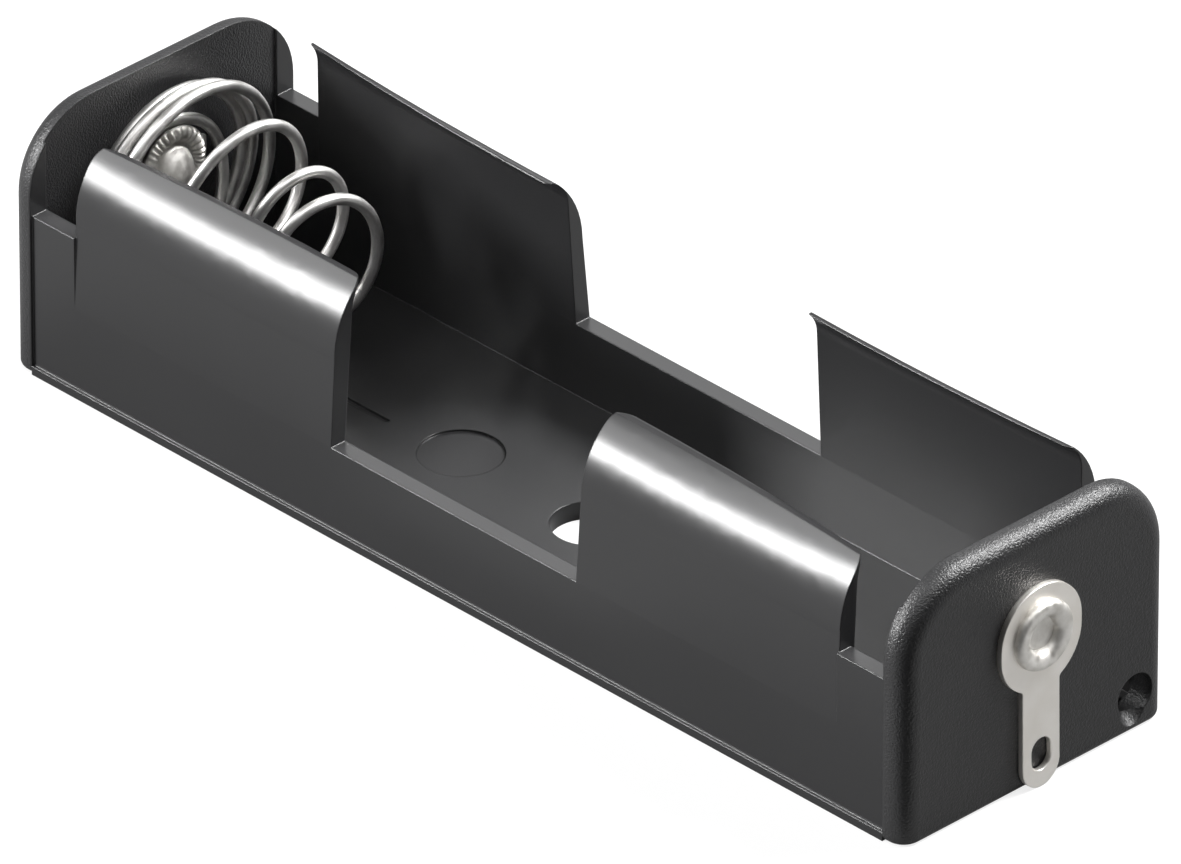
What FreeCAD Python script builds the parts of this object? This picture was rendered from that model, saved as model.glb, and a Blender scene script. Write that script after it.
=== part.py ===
import FreeCAD, Part
import math
import os

# Single-cell holder: a black moulded trough that grips one AA cell, with a coil
# spring riveted inside one end, a rivet contact in the other, and a solder lug
# outside each end. Sizes in millimetres. X runs along the cell, with the spring
# at -X; Z is up; the origin is the middle of the base.

V = FreeCAD.Vector
X_AXIS = V(1, 0, 0)
Y_AXIS = V(0, 1, 0)

# The cell and the room it has
cell_radius = 7.25
side_clearance = 0.05
bay_length = 55.6

# Wall thicknesses of the moulding
floor = 0.95
side_wall = 0.9
end_wall = 1.35

# End walls: rounded at the top corners and along the outer edges
end_height = 13.35
end_corner_radius = 4.1
end_edge_radius = 1.0
foot_edge_radius = 0.35
side_inset = 0.15
face_relief = 0.12

# Narrow skirt along the foot of each side wall
skirt_height = 0.45

# Notches beside the end walls, and the finger gap in the middle
end_ledge_height = 8.45
gap_height = 4.75
gap_length = 16.0
spring_end_notch = 2.8
plain_end_notch = 3.1

# Clips that snap over the cell. Each of a clip's two ends is given as its height,
# the reach of its lip in from the wall's outside, and how far the web leans in
# outside and inside
far_spring_clip = [(12.62, 1.53, 0.08, 0.07), (12.88, 2.75, 0.45, 0.5)]
far_plain_clip = [(12.66, 1.88, 0.1, 0.3), (12.85, 1.8, 0.05, 0.07)]
near_spring_clip = [(12.7, 2.05, 0.15, 0.3), (12.9, 2.35, 0.25, 0.5)]
near_plain_clip = [(12.75, 2.9, 0.3, 0.5), (12.8, 2.05, 0.2, 0.4)]
clip_bend_height = 9.2
shoulder_share_in = 0.26
shoulder_share_up = 0.66
crown_share_in = 0.82
throat_drop = 1.25
throat_share_in = 0.26
throat_share_up = 0.56
lip_bow = 0.2
far_lip_drop = -0.08
near_lip_drop = 0.12
far_lip_corner_radius = 0.3
near_lip_corner_radius = 1.0
lip_margin = 0.1

# Marks and holes of the floor
screw_hole_radius = 1.9
screw_hole_x = 0.5
disc_radius = 2.05
disc_x = -8.0
disc_depth = 0.12
groove_start = -17.0
groove_end = -12.3
groove_width = 0.3
groove_y = -0.5

# Wire hole low in the end wall of the plain contact
wire_hole_radius = 1.1
wire_hole_y = 6.3
wire_hole_z = 1.9
scoop_radius = 0.8
scoop_fall = 0.65
scoop_turn = -0.15

# Solder lugs of tinned sheet, one outside each end
lug_sheet = 0.3
lug_head_radius = 2.53
lug_head_stretch = 0.39
lug_tail_width = 2.3
lug_foot_height = 0.02
lug_lean = 0.9
lug_neck_radius = 0.25
lug_bend_drop = 0.6
lug_blank_depth = 2.0
eye_width = 1.25
eye_height = 1.7
eye_centre_height = 1.72

# Tubular rivets that hold the lugs and carry the current through the end walls
rivet_height = 8.03
rivet_shank_radius = 1.4
rivet_hole_clearance = 0.05
rivet_flange_radius = 1.75
rivet_flange_height = 0.42
rivet_flange_edge = 0.13
rivet_flange_round_drop = 0.05
rivet_flange_round_share = 0.62
rivet_cup_radius = 1.02
rivet_cup_depth = 0.5
rivet_cup_lip_drop = 0.125
rivet_cup_lip_swell = 0.02
rivet_cup_floor_radius = 0.82
button_radius = 3.0
button_height = 0.85
button_face_radius = 1.8
button_round_height = 0.3
button_round_drop = 0.09
button_round_radius = 2.58
crown_radius = 2.05
crown_height = 0.3
crown_edge_drop = 0.1
crown_dome_radius = 1.0
crown_dome_height = 0.75
crown_dome_foot_rise = 0.1
crown_dome_round_share = 0.3
crown_dome_round_radius = 0.72

# Contact spring: a loop round the rivet, wide turns against the wall, and open
# turns that narrow and widen again to the free end. At each number of turns from
# the start it has a distance from the wall, a radius and a height of the turn's
# centre over the rivet's axis, and it leans out from the wall by so much for each
# millimetre towards +Y and upwards
wire_radius = 0.29
loop_lift = 0.43
loop_radius = 2.25
crown_lift = 0.85
winding_turns = [0.22, 1.0, 1.25, 1.5, 2.0, 3.0, 4.0, 5.0, 6.0, 7.0, 7.5]
winding_lift = [0.37, loop_lift, 0.54, 0.65, 0.83, 1.0, 1.84, 5.86, 9.21, 10.84, 10.84]
winding_radius = [loop_radius, loop_radius, 3.32, 4.37, 4.58, 5.28, 5.4, 3.12, 2.21, 3.0, 2.73]
winding_rise = [0.0, -0.18, -0.41, -0.46, -0.47, -0.55, -0.71, 1.14, 1.14, -0.29, -1.7]
winding_lean_y = [-0.02, -0.03, -0.02, -0.01, 0.0, -0.08, -0.11, -0.11, -0.04, 0.15, 0.26]
winding_lean_z = [-0.01, -0.01, 0.03, 0.07, 0.105, 0.105, 0.13, 0.19, 0.185, 0.16, 0.13]
arcs_per_turn = 10

# Dependent sizes
half_bay = bay_length / 2
half_length = half_bay + end_wall
wall_in = cell_radius + side_clearance
wall_out = wall_in + side_wall
half_width = wall_out + side_inset
spring_clip_end = half_bay - spring_end_notch
plain_clip_end = half_bay - plain_end_notch
half_gap = gap_length / 2

# How far a cutting shape runs past the surface that it cuts
past = 1.0


def box(x0, x1, y0, y1, z0, z1):
    return Part.makeBox(x1 - x0, y1 - y0, z1 - z0, V(x0, y0, z0))


def arc(a, b, c):
    return Part.Arc(a, b, c).toShape()


def line(a, b):
    return Part.LineSegment(a, b).toShape()


# End wall standing on its foot, with its outer face towards +X
def end_plate():
    r = end_corner_radius
    w = half_width
    h = end_height
    k = r * (1 - math.sqrt(0.5))
    x = half_bay
    outline = Part.Wire([
        line(V(x, -w, 0), V(x, w, 0)),
        line(V(x, w, 0), V(x, w, h - r)),
        arc(V(x, w, h - r), V(x, w - k, h - k), V(x, w - r, h)),
        line(V(x, w - r, h), V(x, r - w, h)),
        arc(V(x, r - w, h), V(x, k - w, h - k), V(x, -w, h - r)),
        line(V(x, -w, h - r), V(x, -w, 0)),
    ])
    plate = Part.Face(outline).extrude(V(end_wall, 0, 0))

    def on_outer_face(edge):
        b = edge.BoundBox
        return abs(b.XMin - half_length) < 1e-6 and abs(b.XMax - half_length) < 1e-6

    rim = [e for e in plate.Edges if on_outer_face(e) and e.BoundBox.ZMax > 1e-6]
    plate = plate.makeFillet(end_edge_radius, rim)
    foot = [e for e in plate.Edges if on_outer_face(e) and e.BoundBox.ZMax < 1e-6]
    return plate.makeFillet(foot_edge_radius, foot)


# Section of a clip at one end: nearly straight web, bent over at the top outside
# and thinning to a sharp lip that curls in over the cell
def clip_section(x, end, lip_drop):
    height, reach, outer_lean, inner_lean = end
    bend = clip_bend_height
    outer = wall_out - outer_lean
    inner = wall_in - inner_lean
    shoulder = V(x, outer - shoulder_share_in * reach, bend + shoulder_share_up * (height - bend))
    crown = V(x, wall_out - crown_share_in * reach, height)
    lip = V(x, wall_out - reach, height - lip_drop)
    throat_start = V(x, inner, height - throat_drop)
    curl = lip - throat_start
    throat = throat_start + V(0, throat_share_in * curl.y, throat_share_up * curl.z)
    foot_out = V(x, wall_out, gap_height)
    foot_in = V(x, wall_in, gap_height)
    bend_out = V(x, outer, bend)
    return Part.Wire([
        line(foot_out, bend_out),
        arc(bend_out, shoulder, crown),
        line(crown, lip),
        arc(lip, throat, throat_start),
        line(throat_start, foot_in),
        line(foot_in, foot_out),
    ])


# One clip on the +Y wall between two stations: its lip bows inwards between the
# ends, and the lip's corners are rounded in plan
def clip(x0, x1, ends, lip_drop, corner_radius):
    first, last = ends
    height, reach, outer_lean, inner_lean = [(a + b) / 2 for a, b in zip(first, last)]
    middle = (height, reach + lip_bow, outer_lean, inner_lean)
    stations = [(x0, first), ((x0 + x1) / 2, middle), (x1, last)]
    sections = [clip_section(x, end, lip_drop) for x, end in stations]
    body = Part.makeLoft(sections, True, False)
    tip = wall_out - max(first[1], middle[1], last[1]) - lip_margin
    r = corner_radius
    k = r * (1 - math.sqrt(0.5))
    z = gap_height
    first_lip = wall_out - first[1]
    last_lip = wall_out - last[1]
    plan = Part.Wire([
        line(V(x0, wall_out + past, z), V(x0, first_lip + r, z)),
        arc(V(x0, first_lip + r, z), V(x0 + k, first_lip + k, z), V(x0 + r, first_lip, z)),
        line(V(x0 + r, first_lip, z), V(x0 + 2 * r, tip, z)),
        line(V(x0 + 2 * r, tip, z), V(x1 - 2 * r, tip, z)),
        line(V(x1 - 2 * r, tip, z), V(x1 - r, last_lip, z)),
        arc(V(x1 - r, last_lip, z), V(x1 - k, last_lip + k, z), V(x1, last_lip + r, z)),
        line(V(x1, last_lip + r, z), V(x1, wall_out + past, z)),
        line(V(x1, wall_out + past, z), V(x0, wall_out + past, z)),
    ])
    return body.common(Part.Face(plan).extrude(V(0, 0, end_height)))


# Side wall at +Y: low in the middle, higher beside the end walls
def side_wall_solid():
    low = box(-half_bay, half_bay, wall_in, wall_out, 0, gap_height)
    spring_ledge = box(-half_bay, -spring_clip_end, wall_in, wall_out, gap_height, end_ledge_height)
    plain_ledge = box(plain_clip_end, half_bay, wall_in, wall_out, gap_height, end_ledge_height)
    return low.multiFuse([spring_ledge, plain_ledge])


def mirrored(shape, normal):
    return shape.mirror(V(0, 0, 0), normal)


def holder_body():
    plate = end_plate()
    wall = side_wall_solid()
    skirt = box(-half_bay, half_bay, -half_width, half_width, 0, skirt_height)
    base = box(-half_bay, half_bay, -wall_out, wall_out, 0, floor)
    far = (far_lip_drop, far_lip_corner_radius)
    near = (near_lip_drop, near_lip_corner_radius)
    far_clips = [clip(-spring_clip_end, -half_gap, far_spring_clip, *far),
                 clip(half_gap, plain_clip_end, far_plain_clip, *far)]
    near_clips = [clip(-spring_clip_end, -half_gap, near_spring_clip, *near),
                  clip(half_gap, plain_clip_end, near_plain_clip, *near)]
    walls = [wall, mirrored(wall, Y_AXIS), skirt, base]
    body = plate.multiFuse([mirrored(plate, X_AXIS)] + walls + far_clips
                           + [mirrored(c, Y_AXIS) for c in near_clips])
    return body.cut(Part.makeCompound(holder_cuts())).removeSplitter()


# Holes, relief of the end walls inside the bay, and the marks in the floor
def holder_cuts():
    depth = half_bay + face_relief
    relief = [box(-depth, -half_bay, -wall_in, wall_in, floor, end_height + past),
              box(half_bay, depth, -wall_in, wall_in, floor, end_height + past)]
    screw = Part.makeCylinder(screw_hole_radius, floor + 2 * past, V(screw_hole_x, 0, -past))
    disc = Part.makeCylinder(disc_radius, past, V(disc_x, 0, floor - disc_depth))
    groove = box(groove_start, groove_end, groove_y - groove_width / 2, groove_y + groove_width / 2,
                 floor - disc_depth, floor + past)
    rivet_hole = Part.makeCylinder(rivet_shank_radius + rivet_hole_clearance, 2 * (half_length + past),
                                   V(-half_length - past, 0, rivet_height), X_AXIS)
    wire_hole = Part.makeCylinder(wire_hole_radius, end_wall + past,
                                  V(half_bay, wire_hole_y, wire_hole_z), X_AXIS)
    scoop = Part.makeCylinder(scoop_radius, 3 * end_wall,
                              V(half_bay + end_wall / 3, wire_hole_y, wire_hole_z),
                              V(1, scoop_turn, -scoop_fall))
    return relief + [screw, disc, groove, rivet_hole, wire_hole, scoop]


# Keyhole-shaped solder lug on the +X end: a round head under the rivet and a
# straight tail with an oval eye, its tail leaning a little off the wall
def solder_lug():
    x = half_length
    head = lug_head_radius
    half = lug_tail_width / 2
    z = rivet_height
    low = z - lug_head_stretch
    foot = lug_foot_height
    neck = low - math.sqrt(head ** 2 - half ** 2)
    k = head * math.sqrt(0.5)
    outline = Part.Wire([
        line(V(x, -half, foot + half), V(x, -half, neck)),
        arc(V(x, -half, neck), V(x, -k, low - k), V(x, -head, low)),
        line(V(x, -head, low), V(x, -head, z)),
        arc(V(x, -head, z), V(x, 0, z + head), V(x, head, z)),
        line(V(x, head, z), V(x, head, low)),
        arc(V(x, head, low), V(x, k, low - k), V(x, half, neck)),
        line(V(x, half, neck), V(x, half, foot + half)),
        arc(V(x, half, foot + half), V(x, 0, foot), V(x, -half, foot + half)),
    ])
    blank = Part.Face(outline).extrude(V(lug_blank_depth, 0, 0))
    bend = neck - lug_bend_drop
    lean = math.tan(math.radians(lug_lean)) * (bend - foot + past)
    t = lug_sheet
    w = head + past
    top = z + head + past
    low_end = foot - past
    side = Part.makePolygon([V(x, -w, top), V(x, -w, bend), V(x + lean, -w, low_end),
                             V(x + lean + t, -w, low_end), V(x + t, -w, bend), V(x + t, -w, top),
                             V(x, -w, top)])
    lug = blank.common(Part.Face(side).extrude(V(0, 2 * w, 0)))
    start = x - past
    depth = lug_blank_depth + 2 * past
    straight = (eye_height - eye_width) / 2
    eye_low = eye_centre_height - straight
    eye_high = eye_centre_height + straight
    eye = box(start, start + depth, -eye_width / 2, eye_width / 2, eye_low, eye_high)
    eye = eye.fuse([Part.makeCylinder(eye_width / 2, depth, V(start, 0, end), X_AXIS)
                    for end in (eye_low, eye_high)])
    shank = Part.makeCylinder(rivet_shank_radius + rivet_hole_clearance, depth, V(start, 0, z), X_AXIS)
    lug = lug.cut([eye, shank])
    necks = [e for e in lug.Edges if is_neck_edge(e, half, neck)]
    return lug.makeFillet(lug_neck_radius, necks)


def is_neck_edge(edge, half, neck):
    b = edge.BoundBox
    beside_tail = abs(abs(b.YMin) - half) < 1e-4 and b.YLength < 1e-4
    return beside_tail and b.ZLength < 1e-4 and abs(b.ZMin - neck) < 1e-4


# Turned section spun about the rivets' axis; points are (distance along +X, radius)
def turned(parts):
    return Part.Face(Part.Wire(parts)).revolve(V(0, 0, rivet_height), X_AXIS, 360)


def at(x, r):
    return V(x, 0, rivet_height + r)


# Flange, rounded ring and dished cup of a rivet's end, outside the lug at +X
def rivet_outside():
    x0 = half_length + lug_sheet
    x1 = x0 + rivet_flange_height
    edge = x0 + rivet_flange_edge
    r = rivet_flange_radius
    cup = rivet_cup_radius
    ring = (r + cup) / 2
    cup_floor = x1 - rivet_cup_depth
    return [
        line(at(x0, rivet_shank_radius), at(x0, r)),
        line(at(x0, r), at(edge, r)),
        arc(at(edge, r), at(x1 - rivet_flange_round_drop, ring + rivet_flange_round_share * (r - ring)),
            at(x1, ring)),
        arc(at(x1, ring), at(x1 - rivet_cup_lip_drop, cup + rivet_cup_lip_swell),
            at(cup_floor, rivet_cup_floor_radius)),
        line(at(cup_floor, rivet_cup_floor_radius), at(cup_floor, 0)),
    ]


# Rivet at the plain end: its wide button inside is the contact for the cell's tip
def contact_rivet():
    inner = half_bay + face_relief
    face = inner - button_height
    outside = rivet_outside()
    end = outside[-1].Vertexes[-1].Point
    return turned(outside + [
        line(end, at(face, 0)),
        line(at(face, 0), at(face, button_face_radius)),
        arc(at(face, button_face_radius), at(face + button_round_drop, button_round_radius),
            at(face + button_round_height, button_radius)),
        line(at(face + button_round_height, button_radius), at(inner, button_radius)),
        line(at(inner, button_radius), at(inner, rivet_shank_radius)),
        line(at(inner, rivet_shank_radius), at(half_length + lug_sheet, rivet_shank_radius)),
    ])


# Rivet at the spring end, drawn at +X and then mirrored: its crown is pressed
# down inside the spring's loop, round a domed middle
def spring_rivet():
    under = half_bay + face_relief - crown_lift
    top = under - crown_height
    edge = under - crown_edge_drop
    dome_foot = top + crown_dome_foot_rise
    dome_top = top + crown_height - crown_dome_height
    dome_round = dome_top + crown_dome_round_share * (dome_foot - dome_top)
    dome = crown_dome_radius
    outside = rivet_outside()
    end = outside[-1].Vertexes[-1].Point
    rivet = turned(outside + [
        line(end, at(dome_top, 0)),
        arc(at(dome_top, 0), at(dome_round, crown_dome_round_radius), at(dome_foot, dome)),
        arc(at(dome_foot, dome), at(top, (dome + crown_radius) / 2), at(edge, crown_radius)),
        line(at(edge, crown_radius), at(under, crown_radius)),
        line(at(under, crown_radius), at(under, rivet_shank_radius)),
        line(at(under, rivet_shank_radius), at(half_length + lug_sheet, rivet_shank_radius)),
    ])
    return mirrored(rivet, X_AXIS)


# Slope of one column of the winding at a row: level at both ends and at a turning
# point, so that a value never swings past its neighbours
def slope(i, column):
    if i == 0 or i == len(column) - 1:
        return 0.0
    before = (column[i] - column[i - 1]) / (winding_turns[i] - winding_turns[i - 1])
    after = (column[i + 1] - column[i]) / (winding_turns[i + 1] - winding_turns[i])
    if before * after <= 0:
        return 0.0
    return 2 * before * after / (before + after)


# Value of one column of the winding after a number of turns, on a smooth cubic
def wound(turn, column):
    i = max(k for k in range(len(column) - 1) if winding_turns[k] <= turn + 1e-9)
    gap = winding_turns[i + 1] - winding_turns[i]
    t = (turn - winding_turns[i]) / gap
    start, end = column[i], column[i + 1]
    leaving = slope(i, column) * gap
    arriving = slope(i + 1, column) * gap
    return (start * (1 + 2 * t) * (1 - t) ** 2 + leaving * t * (1 - t) ** 2
            + end * t * t * (3 - 2 * t) - arriving * t * t * (1 - t))


# Point on the middle line of the spring's wire after a number of turns. A turn is
# over the top at a whole number; the turns go from -Y over the top to +Y as they
# leave the wall
def spring_point(turn):
    radius = wound(turn, winding_radius)
    y = radius * math.sin(2 * math.pi * turn)
    z = radius * math.cos(2 * math.pi * turn)
    lean = wound(turn, winding_lean_y) * y + wound(turn, winding_lean_z) * z
    x = -half_bay - face_relief + wound(turn, winding_lift) + lean
    return V(x, y, rivet_height + wound(turn, winding_rise) + z)


# Chain of arcs, each tangent to the one before, through the spring's points
def spring_path():
    first, last = winding_turns[0], winding_turns[-1]
    count = int(round((last - first) * arcs_per_turn))
    points = [spring_point(first + (last - first) * i / count) for i in range(count + 1)]
    start_direction = (spring_point(first + 0.01) - points[0]).normalize()
    tangent = V(start_direction)
    arcs = []
    for a, b in zip(points, points[1:]):
        chord = b - a
        across = (chord - tangent * chord.dot(tangent)).normalize()
        radius = chord.Length ** 2 / (2 * chord.dot(across))
        centre = a + across * radius
        middle = centre + ((a - centre) + (b - centre)).normalize() * radius
        arcs.append(arc(a, middle, b))
        direction = chord.normalize()
        tangent = direction * (2 * tangent.dot(direction)) - tangent
    return Part.Wire(arcs), points[0], start_direction


def contact_spring():
    path, start, direction = spring_path()
    profile = Part.Wire(Part.makeCircle(wire_radius, start, direction))
    return path.makePipeShell([profile], True, False)


parts = {
    "holder_body": holder_body,
    "contact_spring": contact_spring,
    "spring_rivet": spring_rivet,
    "spring_lug": lambda: mirrored(solder_lug(), X_AXIS),
    "contact_rivet": contact_rivet,
    "contact_lug": solder_lug,
}

os.makedirs("parts", exist_ok=True)
for name, make in parts.items():
    shape = make()
    shape.exportStep("parts/" + name + ".step")
    print(name, "valid", shape.isValid(), "solids", len(shape.Solids), "volume", round(shape.Volume, 3))
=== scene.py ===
import bmesh
import bpy
import math
from mathutils import Matrix, Vector


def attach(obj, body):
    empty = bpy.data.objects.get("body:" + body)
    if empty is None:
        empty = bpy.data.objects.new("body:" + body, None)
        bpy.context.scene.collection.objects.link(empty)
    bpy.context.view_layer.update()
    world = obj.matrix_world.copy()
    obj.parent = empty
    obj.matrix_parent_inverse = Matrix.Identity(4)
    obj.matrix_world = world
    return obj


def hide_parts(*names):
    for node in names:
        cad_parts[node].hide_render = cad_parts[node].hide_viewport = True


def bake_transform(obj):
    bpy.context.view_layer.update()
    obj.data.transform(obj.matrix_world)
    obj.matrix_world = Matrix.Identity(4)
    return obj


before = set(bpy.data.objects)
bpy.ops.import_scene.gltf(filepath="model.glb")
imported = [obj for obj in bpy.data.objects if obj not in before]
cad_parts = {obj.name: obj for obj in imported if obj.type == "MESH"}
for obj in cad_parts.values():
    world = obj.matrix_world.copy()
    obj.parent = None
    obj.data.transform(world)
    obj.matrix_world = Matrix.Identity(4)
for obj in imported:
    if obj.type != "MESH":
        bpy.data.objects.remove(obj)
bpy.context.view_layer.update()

# Moulded body: one piece of black plastic, a trough with two end walls and four
# snap clips. Its sides and clips come from a polished mould and are glossy; the
# end walls come from a part of the mould that was eroded to a fine pebble.
MM = 0.001


def linear(colour):
    parts = [int(colour[i:i + 2], 16) / 255 for i in (1, 3, 5)]
    return [c / 12.92 if c <= 0.04045 else ((c + 0.055) / 1.055) ** 2.4 for c in parts] + [1.0]


def add_node(material, kind, settings=None, inputs=None):
    node = material.node_tree.nodes.new("ShaderNode" + kind)
    for name, value in (settings or {}).items():
        setattr(node, name, value)
    for name, value in (inputs or {}).items():
        if isinstance(value, bpy.types.NodeSocket):
            material.node_tree.links.new(value, node.inputs[name])
        else:
            node.inputs[name].default_value = value
    return node


def new_material(name, inputs):
    material = bpy.data.materials.new(name)
    material.use_nodes = True
    surface = material.node_tree.nodes["Principled BSDF"]
    for key, value in inputs.items():
        surface.inputs[key].default_value = value
    return material, surface


def join(material, value, surface, socket):
    material.node_tree.links.new(value, surface.inputs[socket])


def cover(obj, material):
    obj.data.materials.clear()
    obj.data.materials.append(material)


# Gloss-moulded ABS: a deep neutral black that mirrors softly, a little uneven in
# sheen from the flow of the plastic. The ends' fine pebble is drawn as 0.1 mm
# grit, so that it shows, and their outer faces are darkened with painted shade.
FLOW_SIZE = 9.0
GRIT_SIZE = 0.1
# How far from the middle, along the holder, the pebble and the painted shade set in
PEBBLED_FROM, PEBBLED_TO = 27.80, 27.95
SHADE_FROM, SHADE_TO = 28.6, 29.05
# How much the mould rounds each edge
BROKEN_EDGE = 0.09
plastic, plastic_surface = new_material("gloss moulded black ABS", {"IOR": 1.54})
place = add_node(plastic, "TexCoord").outputs["Object"]
axes = add_node(plastic, "SeparateXYZ", inputs={"Vector": place})
along = add_node(plastic, "Math", {"operation": "ABSOLUTE"}, {0: axes.outputs["X"]})
pebbled = add_node(plastic, "MapRange", {"interpolation_type": "SMOOTHSTEP"},
                   {"Value": along.outputs[0], "From Min": PEBBLED_FROM * MM, "From Max": PEBBLED_TO * MM})
grit = add_node(plastic, "TexNoise", inputs={"Vector": place, "Scale": 1 / (GRIT_SIZE * MM), "Detail": 1.0,
                                             "Roughness": 0.6})
flow = add_node(plastic, "TexNoise", inputs={"Vector": place, "Scale": 1 / (FLOW_SIZE * MM), "Detail": 2.0})
flow_sheen = add_node(plastic, "MapRange",
                      inputs={"Value": flow.outputs["Fac"], "From Min": 0.2, "From Max": 0.8,
                              "To Min": 0.28, "To Max": 0.31})
grit_sheen = add_node(plastic, "MapRange",
                      inputs={"Value": grit.outputs["Fac"], "From Min": 0.3, "From Max": 0.7,
                              "To Min": 0.34, "To Max": 0.46})
sheen = add_node(plastic, "Mix",
                 inputs={"Factor": pebbled.outputs["Result"], "A": flow_sheen.outputs["Result"],
                         "B": grit_sheen.outputs["Result"]})
join(plastic, sheen.outputs["Result"], plastic_surface, "Roughness")
tone = add_node(plastic, "ValToRGB", inputs={"Fac": flow.outputs["Fac"]})
tone.color_ramp.elements[0].position = 0.15
tone.color_ramp.elements[0].color = linear("#2B2B2C")
tone.color_ramp.elements[1].position = 0.85
tone.color_ramp.elements[1].color = linear("#2E2E2F")
# Painted shade: the end walls' outer faces are given a darker colour, #1B1B1C
painted_shade_outer_face = add_node(plastic, "MapRange", {"interpolation_type": "SMOOTHSTEP"},
                      {"Value": along.outputs[0], "From Min": SHADE_FROM * MM, "From Max": SHADE_TO * MM})
painted_shade_tone = add_node(plastic, "Mix", {"data_type": "RGBA"},
                       {0: painted_shade_outer_face.outputs["Result"], 6: tone.outputs["Color"], 7: linear("#1B1B1C")})
join(plastic, painted_shade_tone.outputs[2], plastic_surface, "Base Color")
rounded = add_node(plastic, "Bevel", {"samples": 6}, {"Radius": BROKEN_EDGE * MM})
pebble_height = add_node(plastic, "Math", {"operation": "MULTIPLY"},
                         {0: grit.outputs["Fac"], 1: pebbled.outputs["Result"]})
pebble_bump = add_node(plastic, "Bump", inputs={"Strength": 0.9, "Distance": 0.045 * MM,
                                                "Height": pebble_height.outputs[0],
                                                "Normal": rounded.outputs["Normal"]})
join(plastic, pebble_bump.outputs["Normal"], plastic_surface, "Normal")
cover(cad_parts["holder_body"], plastic)

# Contact spring: bright nickel-plated steel wire, wound from a small loop held
# under the inside rivet out to wide turns that lie on the end wall, and then in
# again to a narrow free end. It is pushed flat by the cell.
WALL_X = -27.92
RIVET_Z = 8.03
WIRE_RADIUS = 0.29
# Each list has one value for each place in TURNS: how far the wire stands off the
# wall, the turn's radius, how far its middle lies above the rivet and to the far
# side, and how much it leans out of the wall's plane across and up.
TURNS = [0.22, 1.0, 1.25, 1.5, 2.0, 3.0, 4.0, 5.0, 6.0, 7.0, 7.5]
LIFT = [0.37, 0.43, 0.54, 0.81, 0.77, 0.94, 2.0, 5.72, 9.21, 10.84, 10.84]
RADIUS = [2.25, 2.25, 3.32, 4.68, 4.7, 5.29, 5.44, 3.13, 2.21, 3.0, 2.73]
RISE = [0.0, -0.18, -0.41, -0.63, -0.67, -1.0, -0.8, 1.21, 1.14, -0.29, -1.7]
SWAY = [0.0, 0.0, 0.0, 0.0, -0.11, -0.14, -0.2, 0.16, 0.0, 0.0, 0.0]
LEAN_Y = [-0.02, -0.03, -0.02, 0.14, -0.05, -0.06, -0.11, -0.11, -0.04, 0.15, 0.26]
LEAN_Z = [-0.01, -0.01, 0.03, 0.03, 0.05, 0.12, 0.11, 0.18, 0.18, 0.16, 0.13]
FIRST_TURN, LAST_TURN = TURNS[0], TURNS[-1]
POINTS_PER_TURN = 24


def slope(i, column):
    if i == 0 or i == len(column) - 1:
        return 0.0
    before = (column[i] - column[i - 1]) / (TURNS[i] - TURNS[i - 1])
    after = (column[i + 1] - column[i]) / (TURNS[i + 1] - TURNS[i])
    return 0.0 if before * after <= 0 else 2 * before * after / (before + after)


def between(turn, column):
    i = max(k for k in range(len(column) - 1) if TURNS[k] <= turn)
    gap = TURNS[i + 1] - TURNS[i]
    t = (turn - TURNS[i]) / gap
    m, n = slope(i, column) * gap, slope(i + 1, column) * gap
    return (column[i] * (1 + 2 * t) * (1 - t) ** 2 + m * t * (1 - t) ** 2
            + column[i + 1] * t * t * (3 - 2 * t) - n * t * t * (1 - t))


def wire_point(turn):
    y = between(turn, RADIUS) * math.sin(2 * math.pi * turn)
    z = between(turn, RADIUS) * math.cos(2 * math.pi * turn)
    x = WALL_X + between(turn, LIFT) + between(turn, LEAN_Y) * y + between(turn, LEAN_Z) * z
    return Vector((x, y + between(turn, SWAY), RIVET_Z + between(turn, RISE) + z)) * MM


line = bpy.data.curves.new("spring_line", "CURVE")
line.dimensions = "3D"
line.bevel_depth = WIRE_RADIUS * MM
line.bevel_resolution = 6
line.use_fill_caps = True
spline = line.splines.new("NURBS")
last = int((LAST_TURN - FIRST_TURN) * POINTS_PER_TURN)
spline.points.add(last)
for i, point in enumerate(spline.points):
    point.co = (*wire_point(FIRST_TURN + (LAST_TURN - FIRST_TURN) * i / last), 1.0)
spline.order_u = 4
spline.use_endpoint_u = True
spline.resolution_u = 4
wound = bpy.data.objects.new("spring_line", line)
bpy.context.scene.collection.objects.link(wound)
bpy.context.view_layer.update()
graph = bpy.context.evaluated_depsgraph_get()
spring = bpy.data.objects.new("spring_wire", bpy.data.meshes.new_from_object(wound.evaluated_get(graph)))
bpy.data.objects.remove(wound)
bpy.context.scene.collection.objects.link(spring)
for face in spring.data.polygons:
    face.use_smooth = True

# Nickel-plated wire: pale, bright metal with small dull patches in the plating, and
# fine marks left by the drawing die, drawn as coarse as 0.2 mm so that they show
PATCH_SIZE = 0.9
DIE_MARK_SIZE = 0.2
nickel, nickel_surface = new_material("drawn nickel-plated wire", {"Metallic": 1.0})
place = add_node(nickel, "TexCoord").outputs["Object"]
patches = add_node(nickel, "TexNoise",
                   inputs={"Vector": place, "Scale": 1 / (PATCH_SIZE * MM), "Detail": 3.0})
nickel_tone = add_node(nickel, "ValToRGB", inputs={"Fac": patches.outputs["Fac"]})
nickel_tone.color_ramp.elements[0].position = 0.3
nickel_tone.color_ramp.elements[0].color = linear("#E4E2DF")
nickel_tone.color_ramp.elements[1].position = 0.65
nickel_tone.color_ramp.elements[1].color = linear("#F5F4F2")
join(nickel, nickel_tone.outputs["Color"], nickel_surface, "Base Color")
nickel_sheen = add_node(nickel, "MapRange",
                        inputs={"Value": patches.outputs["Fac"], "From Min": 0.3, "From Max": 0.7,
                                "To Min": 0.38, "To Max": 0.48})
join(nickel, nickel_sheen.outputs["Result"], nickel_surface, "Roughness")
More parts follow.
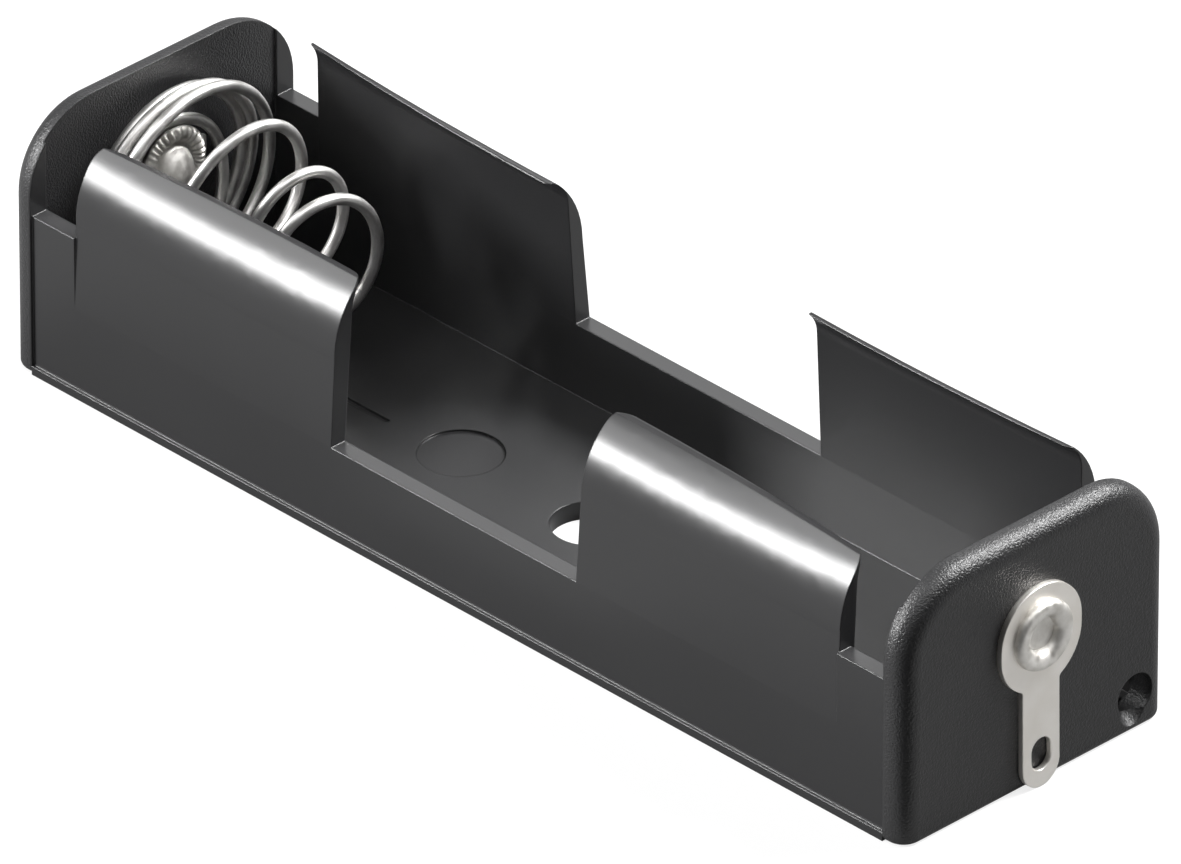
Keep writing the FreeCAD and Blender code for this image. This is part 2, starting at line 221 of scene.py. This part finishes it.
die_marks = add_node(nickel, "TexNoise",
                     inputs={"Vector": place, "Scale": 1 / (DIE_MARK_SIZE * MM), "Detail": 2.0})
nickel_bump = add_node(nickel, "Bump", inputs={"Strength": 0.15, "Distance": 0.02 * MM,
                                               "Height": die_marks.outputs["Fac"]})
join(nickel, nickel_bump.outputs["Normal"], nickel_surface, "Normal")
cover(spring, nickel)
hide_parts("contact_spring")
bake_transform(spring)

# Inside rivet of the spring: a nickel-plated brass eyelet, its mouth split and
# rolled out over the spring's loop as small petals round a bright domed middle,
# which the punch left a little askew.
# The end wall's outer face, and the thickness of the lug on it
OUT_X = 29.15
SHEET = 0.3
DOME_X = 26.4
DOME_RADIUS = 1.05
DOME_TILT = 0.36
SHOULDER_RADIUS, SHOULDER_TILT = 0.95, 0.6
PETALS = 31
PETAL_IN, PETAL_OUT = 1.3, 2.02
PETAL_DEPTH, DEPTH_CHANGE = 0.09, 0.07
FRONT_DEPTH = 0.6
STEPS_ROUND = 240
# Each point is how far it lies out along the axis, and its radius
EYELET_PROFILE = [
    (DOME_X, 0.0), (DOME_X + 0.03, 0.4), (DOME_X + 0.1, 0.7), (DOME_X + 0.2, 0.88), (DOME_X + 0.34, 0.98),
    (DOME_X + 0.5, 1.03), (DOME_X + 0.64, 1.08), (DOME_X + 0.66, 1.18), (DOME_X + 0.55, 1.32),
    (DOME_X + 0.42, 1.48), (DOME_X + 0.4, 1.66), (DOME_X + 0.46, 1.82), (DOME_X + 0.56, 1.95),
    (DOME_X + 0.66, PETAL_OUT), (DOME_X + 0.68, 1.9), (DOME_X + 0.68, 1.4),
    (OUT_X + SHEET, 1.4), (OUT_X + SHEET, 1.75), (OUT_X + 0.45, 1.75), (OUT_X + 0.65, 1.6),
    (OUT_X + 0.72, 1.38), (OUT_X + 0.63, 1.06), (OUT_X + 0.25, 0.8), (OUT_X + 0.22, 0.0)]


def piece(name, mesh):
    data = bpy.data.meshes.new(name)
    mesh.to_mesh(data)
    mesh.free()
    obj = bpy.data.objects.new(name, data)
    bpy.context.scene.collection.objects.link(obj)
    for face in data.polygons:
        face.use_smooth = True
    return obj


# Spun about the rivet's axis, with the profile on the side of the spring
mesh = bmesh.new()
ring = [mesh.verts.new((-x * MM, 0, (RIVET_Z + r) * MM)) for x, r in EYELET_PROFILE]
edges = [mesh.edges.new(pair) for pair in zip(ring, ring[1:])]
bmesh.ops.spin(mesh, geom=ring + edges, cent=(0, 0, RIVET_Z * MM), axis=(1, 0, 0), dvec=(0, 0, 0),
               angle=2 * math.pi, steps=STEPS_ROUND, use_merge=True, use_duplicate=False)
bmesh.ops.remove_doubles(mesh, verts=mesh.verts, dist=1e-7)
bmesh.ops.recalc_face_normals(mesh, faces=mesh.faces)
eyelet = piece("spring_eyelet", mesh)

# The petals are waves across the rolled rim, uneven in width and depth, and the
# dome leans, less at its shoulder
for vertex in eyelet.data.vertices:
    x, y, z = vertex.co.x, vertex.co.y, vertex.co.z - RIVET_Z * MM
    radius = math.hypot(y, z) / MM
    in_front = -x < (DOME_X + FRONT_DEPTH) * MM
    if PETAL_IN < radius < PETAL_OUT and in_front:
        angle = math.atan2(z, y)
        wave = math.cos(PETALS * angle + 2.0 * math.sin(3 * angle) + 1.5 * math.sin(5 * angle + 1))
        crest = math.sin(math.pi * (radius - PETAL_IN) / (PETAL_OUT - PETAL_IN))
        vertex.co.x = x + (PETAL_DEPTH + DEPTH_CHANGE * math.sin(4 * angle)) * wave * crest * MM
    elif radius < DOME_RADIUS and in_front:
        vertex.co.x = x - DOME_TILT * z * (1.0 if radius < SHOULDER_RADIUS else SHOULDER_TILT)

# Pressed nickel over brass: bright, warm grey, dented by the riveting punch
DENT_SIZE = 0.6
pressed, pressed_surface = new_material("pressed nickel-plated brass", {"Metallic": 1.0})
place = add_node(pressed, "TexCoord").outputs["Object"]
dents = add_node(pressed, "TexNoise", inputs={"Vector": place, "Scale": 1 / (DENT_SIZE * MM), "Detail": 2.0})
pressed_tone = add_node(pressed, "ValToRGB", inputs={"Fac": dents.outputs["Fac"]})
pressed_tone.color_ramp.elements[0].position = 0.3
pressed_tone.color_ramp.elements[0].color = linear("#CFCCC6")
pressed_tone.color_ramp.elements[1].position = 0.65
pressed_tone.color_ramp.elements[1].color = linear("#EDEBE7")
join(pressed, pressed_tone.outputs["Color"], pressed_surface, "Base Color")
pressed_sheen = add_node(pressed, "MapRange",
                         inputs={"Value": dents.outputs["Fac"], "From Min": 0.3, "From Max": 0.7,
                                 "To Min": 0.42, "To Max": 0.6})
join(pressed, pressed_sheen.outputs["Result"], pressed_surface, "Roughness")
pressed_bump = add_node(pressed, "Bump", inputs={"Strength": 0.4, "Distance": 0.07 * MM,
                                                 "Height": dents.outputs["Fac"]})
join(pressed, pressed_bump.outputs["Normal"], pressed_surface, "Normal")
cover(eyelet, pressed)
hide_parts("spring_rivet")
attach(eyelet, "holder")

# Riveted contact at the plain end: a turned brass rivet, nickel-plated, headed
# over the lug outside and with a broad flat button inside for the cell's tip.
cover(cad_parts["contact_rivet"], pressed)

# Solder lugs: punched from hot-tinned sheet, satin warm grey with edges that the
# punch left bright, one clamped under each rivet's outside head.
CLOUD_SIZE = 1.6
PUNCHED_EDGE = 0.1
tinned, tinned_surface = new_material("hot-tinned steel sheet", {"Metallic": 1.0})
place = add_node(tinned, "TexCoord").outputs["Object"]
cloud = add_node(tinned, "TexNoise", inputs={"Vector": place, "Scale": 1 / (CLOUD_SIZE * MM), "Detail": 4.0})
tinned_tone = add_node(tinned, "ValToRGB", inputs={"Fac": cloud.outputs["Fac"]})
tinned_tone.color_ramp.elements[0].position = 0.3
tinned_tone.color_ramp.elements[0].color = linear("#F0ECE5")
tinned_tone.color_ramp.elements[1].position = 0.7
tinned_tone.color_ramp.elements[1].color = linear("#F8F5F0")
join(tinned, tinned_tone.outputs["Color"], tinned_surface, "Base Color")
tinned_sheen = add_node(tinned, "MapRange",
                        inputs={"Value": cloud.outputs["Fac"], "From Min": 0.3, "From Max": 0.7,
                                "To Min": 0.42, "To Max": 0.5})
join(tinned, tinned_sheen.outputs["Result"], tinned_surface, "Roughness")
punched = add_node(tinned, "Bevel", {"samples": 6}, {"Radius": PUNCHED_EDGE * MM})
join(tinned, punched.outputs["Normal"], tinned_surface, "Normal")
cover(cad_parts["contact_lug"], tinned)
cover(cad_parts["spring_lug"], tinned)

# Studio: a paper floor and a surround, which are white only where the camera or a
# mirroring surface sees them. The surround is a dim, even fill to all the rest.
FLOOR_HALF = 4.0
FLOOR_WHITE, FLOOR_IN_MIRRORS = 0.8, 0.1
SURROUND_LEVEL = 0.3


def white_where_seen(material, strength, in_mirrors):
    path = add_node(material, "LightPath")
    mirrored = add_node(material, "Math", {"operation": "MAXIMUM"},
                        {0: path.outputs["Is Glossy Ray"], 1: path.outputs["Is Transmission Ray"]})
    dimmed = add_node(material, "Math", {"operation": "MULTIPLY"},
                      {0: mirrored.outputs[0], 1: in_mirrors})
    shown = add_node(material, "Math", {"operation": "MULTIPLY"},
                     {0: path.outputs["Is Camera Ray"], 1: strength})
    both = add_node(material, "Math", {"operation": "MAXIMUM"},
                    {0: dimmed.outputs[0], 1: shown.outputs[0]})
    return both.outputs[0]


mesh = bmesh.new()
bmesh.ops.create_grid(mesh, x_segments=1, y_segments=1, size=FLOOR_HALF)
floor = piece("floor", mesh)
# Matt paper with no sheen: its own grey keeps the holder's shadow, and the white is
# added where it is seen
paper, paper_surface = new_material("matt white paper", {"Base Color": linear("#828282"), "Roughness": 0.9,
                                                         "Specular IOR Level": 0.0,
                                                         "Emission Color": (1, 1, 1, 1)})
join(paper, white_where_seen(paper, FLOOR_WHITE, FLOOR_IN_MIRRORS), paper_surface, "Emission Strength")
cover(floor, paper)

world = bpy.data.worlds.new("surround")
bpy.context.scene.world = world
world.use_nodes = True
level = add_node(world, "Math", {"operation": "MAXIMUM"},
                 {0: white_where_seen(world, 1.0, 1.0), 1: SURROUND_LEVEL})
join(world, level.outputs[0], world.node_tree.nodes["Background"], "Strength")


# Lamps: each a soft box at its azimuth and elevation in degrees, with its width
# and height in metres and its radiance
def softbox(name, azimuth, elevation, width, height, radiance, distance=0.8):
    lamp = bpy.data.lights.new(name, "AREA")
    lamp.shape = "RECTANGLE"
    lamp.size = width
    lamp.size_y = height
    lamp.energy = radiance * math.pi * width * height
    obj = bpy.data.objects.new(name, lamp)
    a, e = math.radians(azimuth), math.radians(elevation)
    away = Vector((math.cos(a) * math.cos(e), math.sin(a) * math.cos(e), math.sin(e)))
    turn = away.to_track_quat("Z", "Y").to_matrix().to_4x4()
    obj.matrix_world = Matrix.Translation(away * distance) @ turn
    bpy.context.scene.collection.objects.link(obj)


# The strip draws the band along the near clips, the bank behind lights the
# rounded edge of the near end wall, and the rest fill in the wire and ledges
softbox("strip", 230, 21.5, 0.20, 0.23, 54.0)
softbox("left_box", 222, 42, 0.50, 0.24, 5.0)
softbox("back_left", 136, 32, 0.36, 0.26, 2.1)
softbox("back_bank", 72, 48, 0.42, 0.32, 32.0)
softbox("overhead", 315, 70, 0.50, 0.40, 2.6)

# Black card laid at the front right, seen only in mirroring surfaces: it keeps
# the rounded near corner of the end wall dark.
CARD_HALF = 0.15
CARD_CORNER_X, CARD_CORNER_Y, CARD_Z = 0.0295, -0.0088, 0.0002
card_middle = Vector((CARD_CORNER_X + CARD_HALF, CARD_CORNER_Y - CARD_HALF, CARD_Z))
mesh = bmesh.new()
bmesh.ops.create_grid(mesh, x_segments=1, y_segments=1, size=CARD_HALF,
                      matrix=Matrix.Translation(card_middle))
card = piece("black_card", mesh)
black, black_surface = new_material("black card", {"Base Color": linear("#101010"), "Roughness": 0.9})
cover(card, black)
card.visible_camera = False
card.visible_diffuse = False
card.visible_shadow = False

# Camera: a long lens from the front right, above the holder, aimed a hair right of
# its middle and below it.
AZIMUTH = math.radians(45.83)
ELEVATION = math.radians(31.67)
DISTANCE = 1.1971
LENS = 803.25
MIDDLE_Z, AIM_RIGHT, AIM_DOWN = 6.0, 0.343, 0.332
camera = bpy.data.objects.new("camera", bpy.data.cameras.new("camera"))
camera.data.sensor_width = 36.0
camera.data.lens = LENS
camera.data.clip_start = 0.1
camera.data.clip_end = 50.0
back = Vector((math.sin(AZIMUTH) * math.cos(ELEVATION), -math.cos(AZIMUTH) * math.cos(ELEVATION),
               math.sin(ELEVATION)))
right = (-back).cross(Vector((0, 0, 1))).normalized()
up = right.cross(-back)
aim = Vector((0, 0, MIDDLE_Z * MM)) + right * AIM_RIGHT * MM - up * AIM_DOWN * MM
facing = (-back).to_track_quat("-Z", "Y").to_matrix().to_4x4()
camera.matrix_world = Matrix.Translation(aim + back * DISTANCE) @ facing
bpy.context.scene.collection.objects.link(camera)
bpy.context.scene.camera = camera
bpy.context.scene.view_settings.view_transform = "Standard"
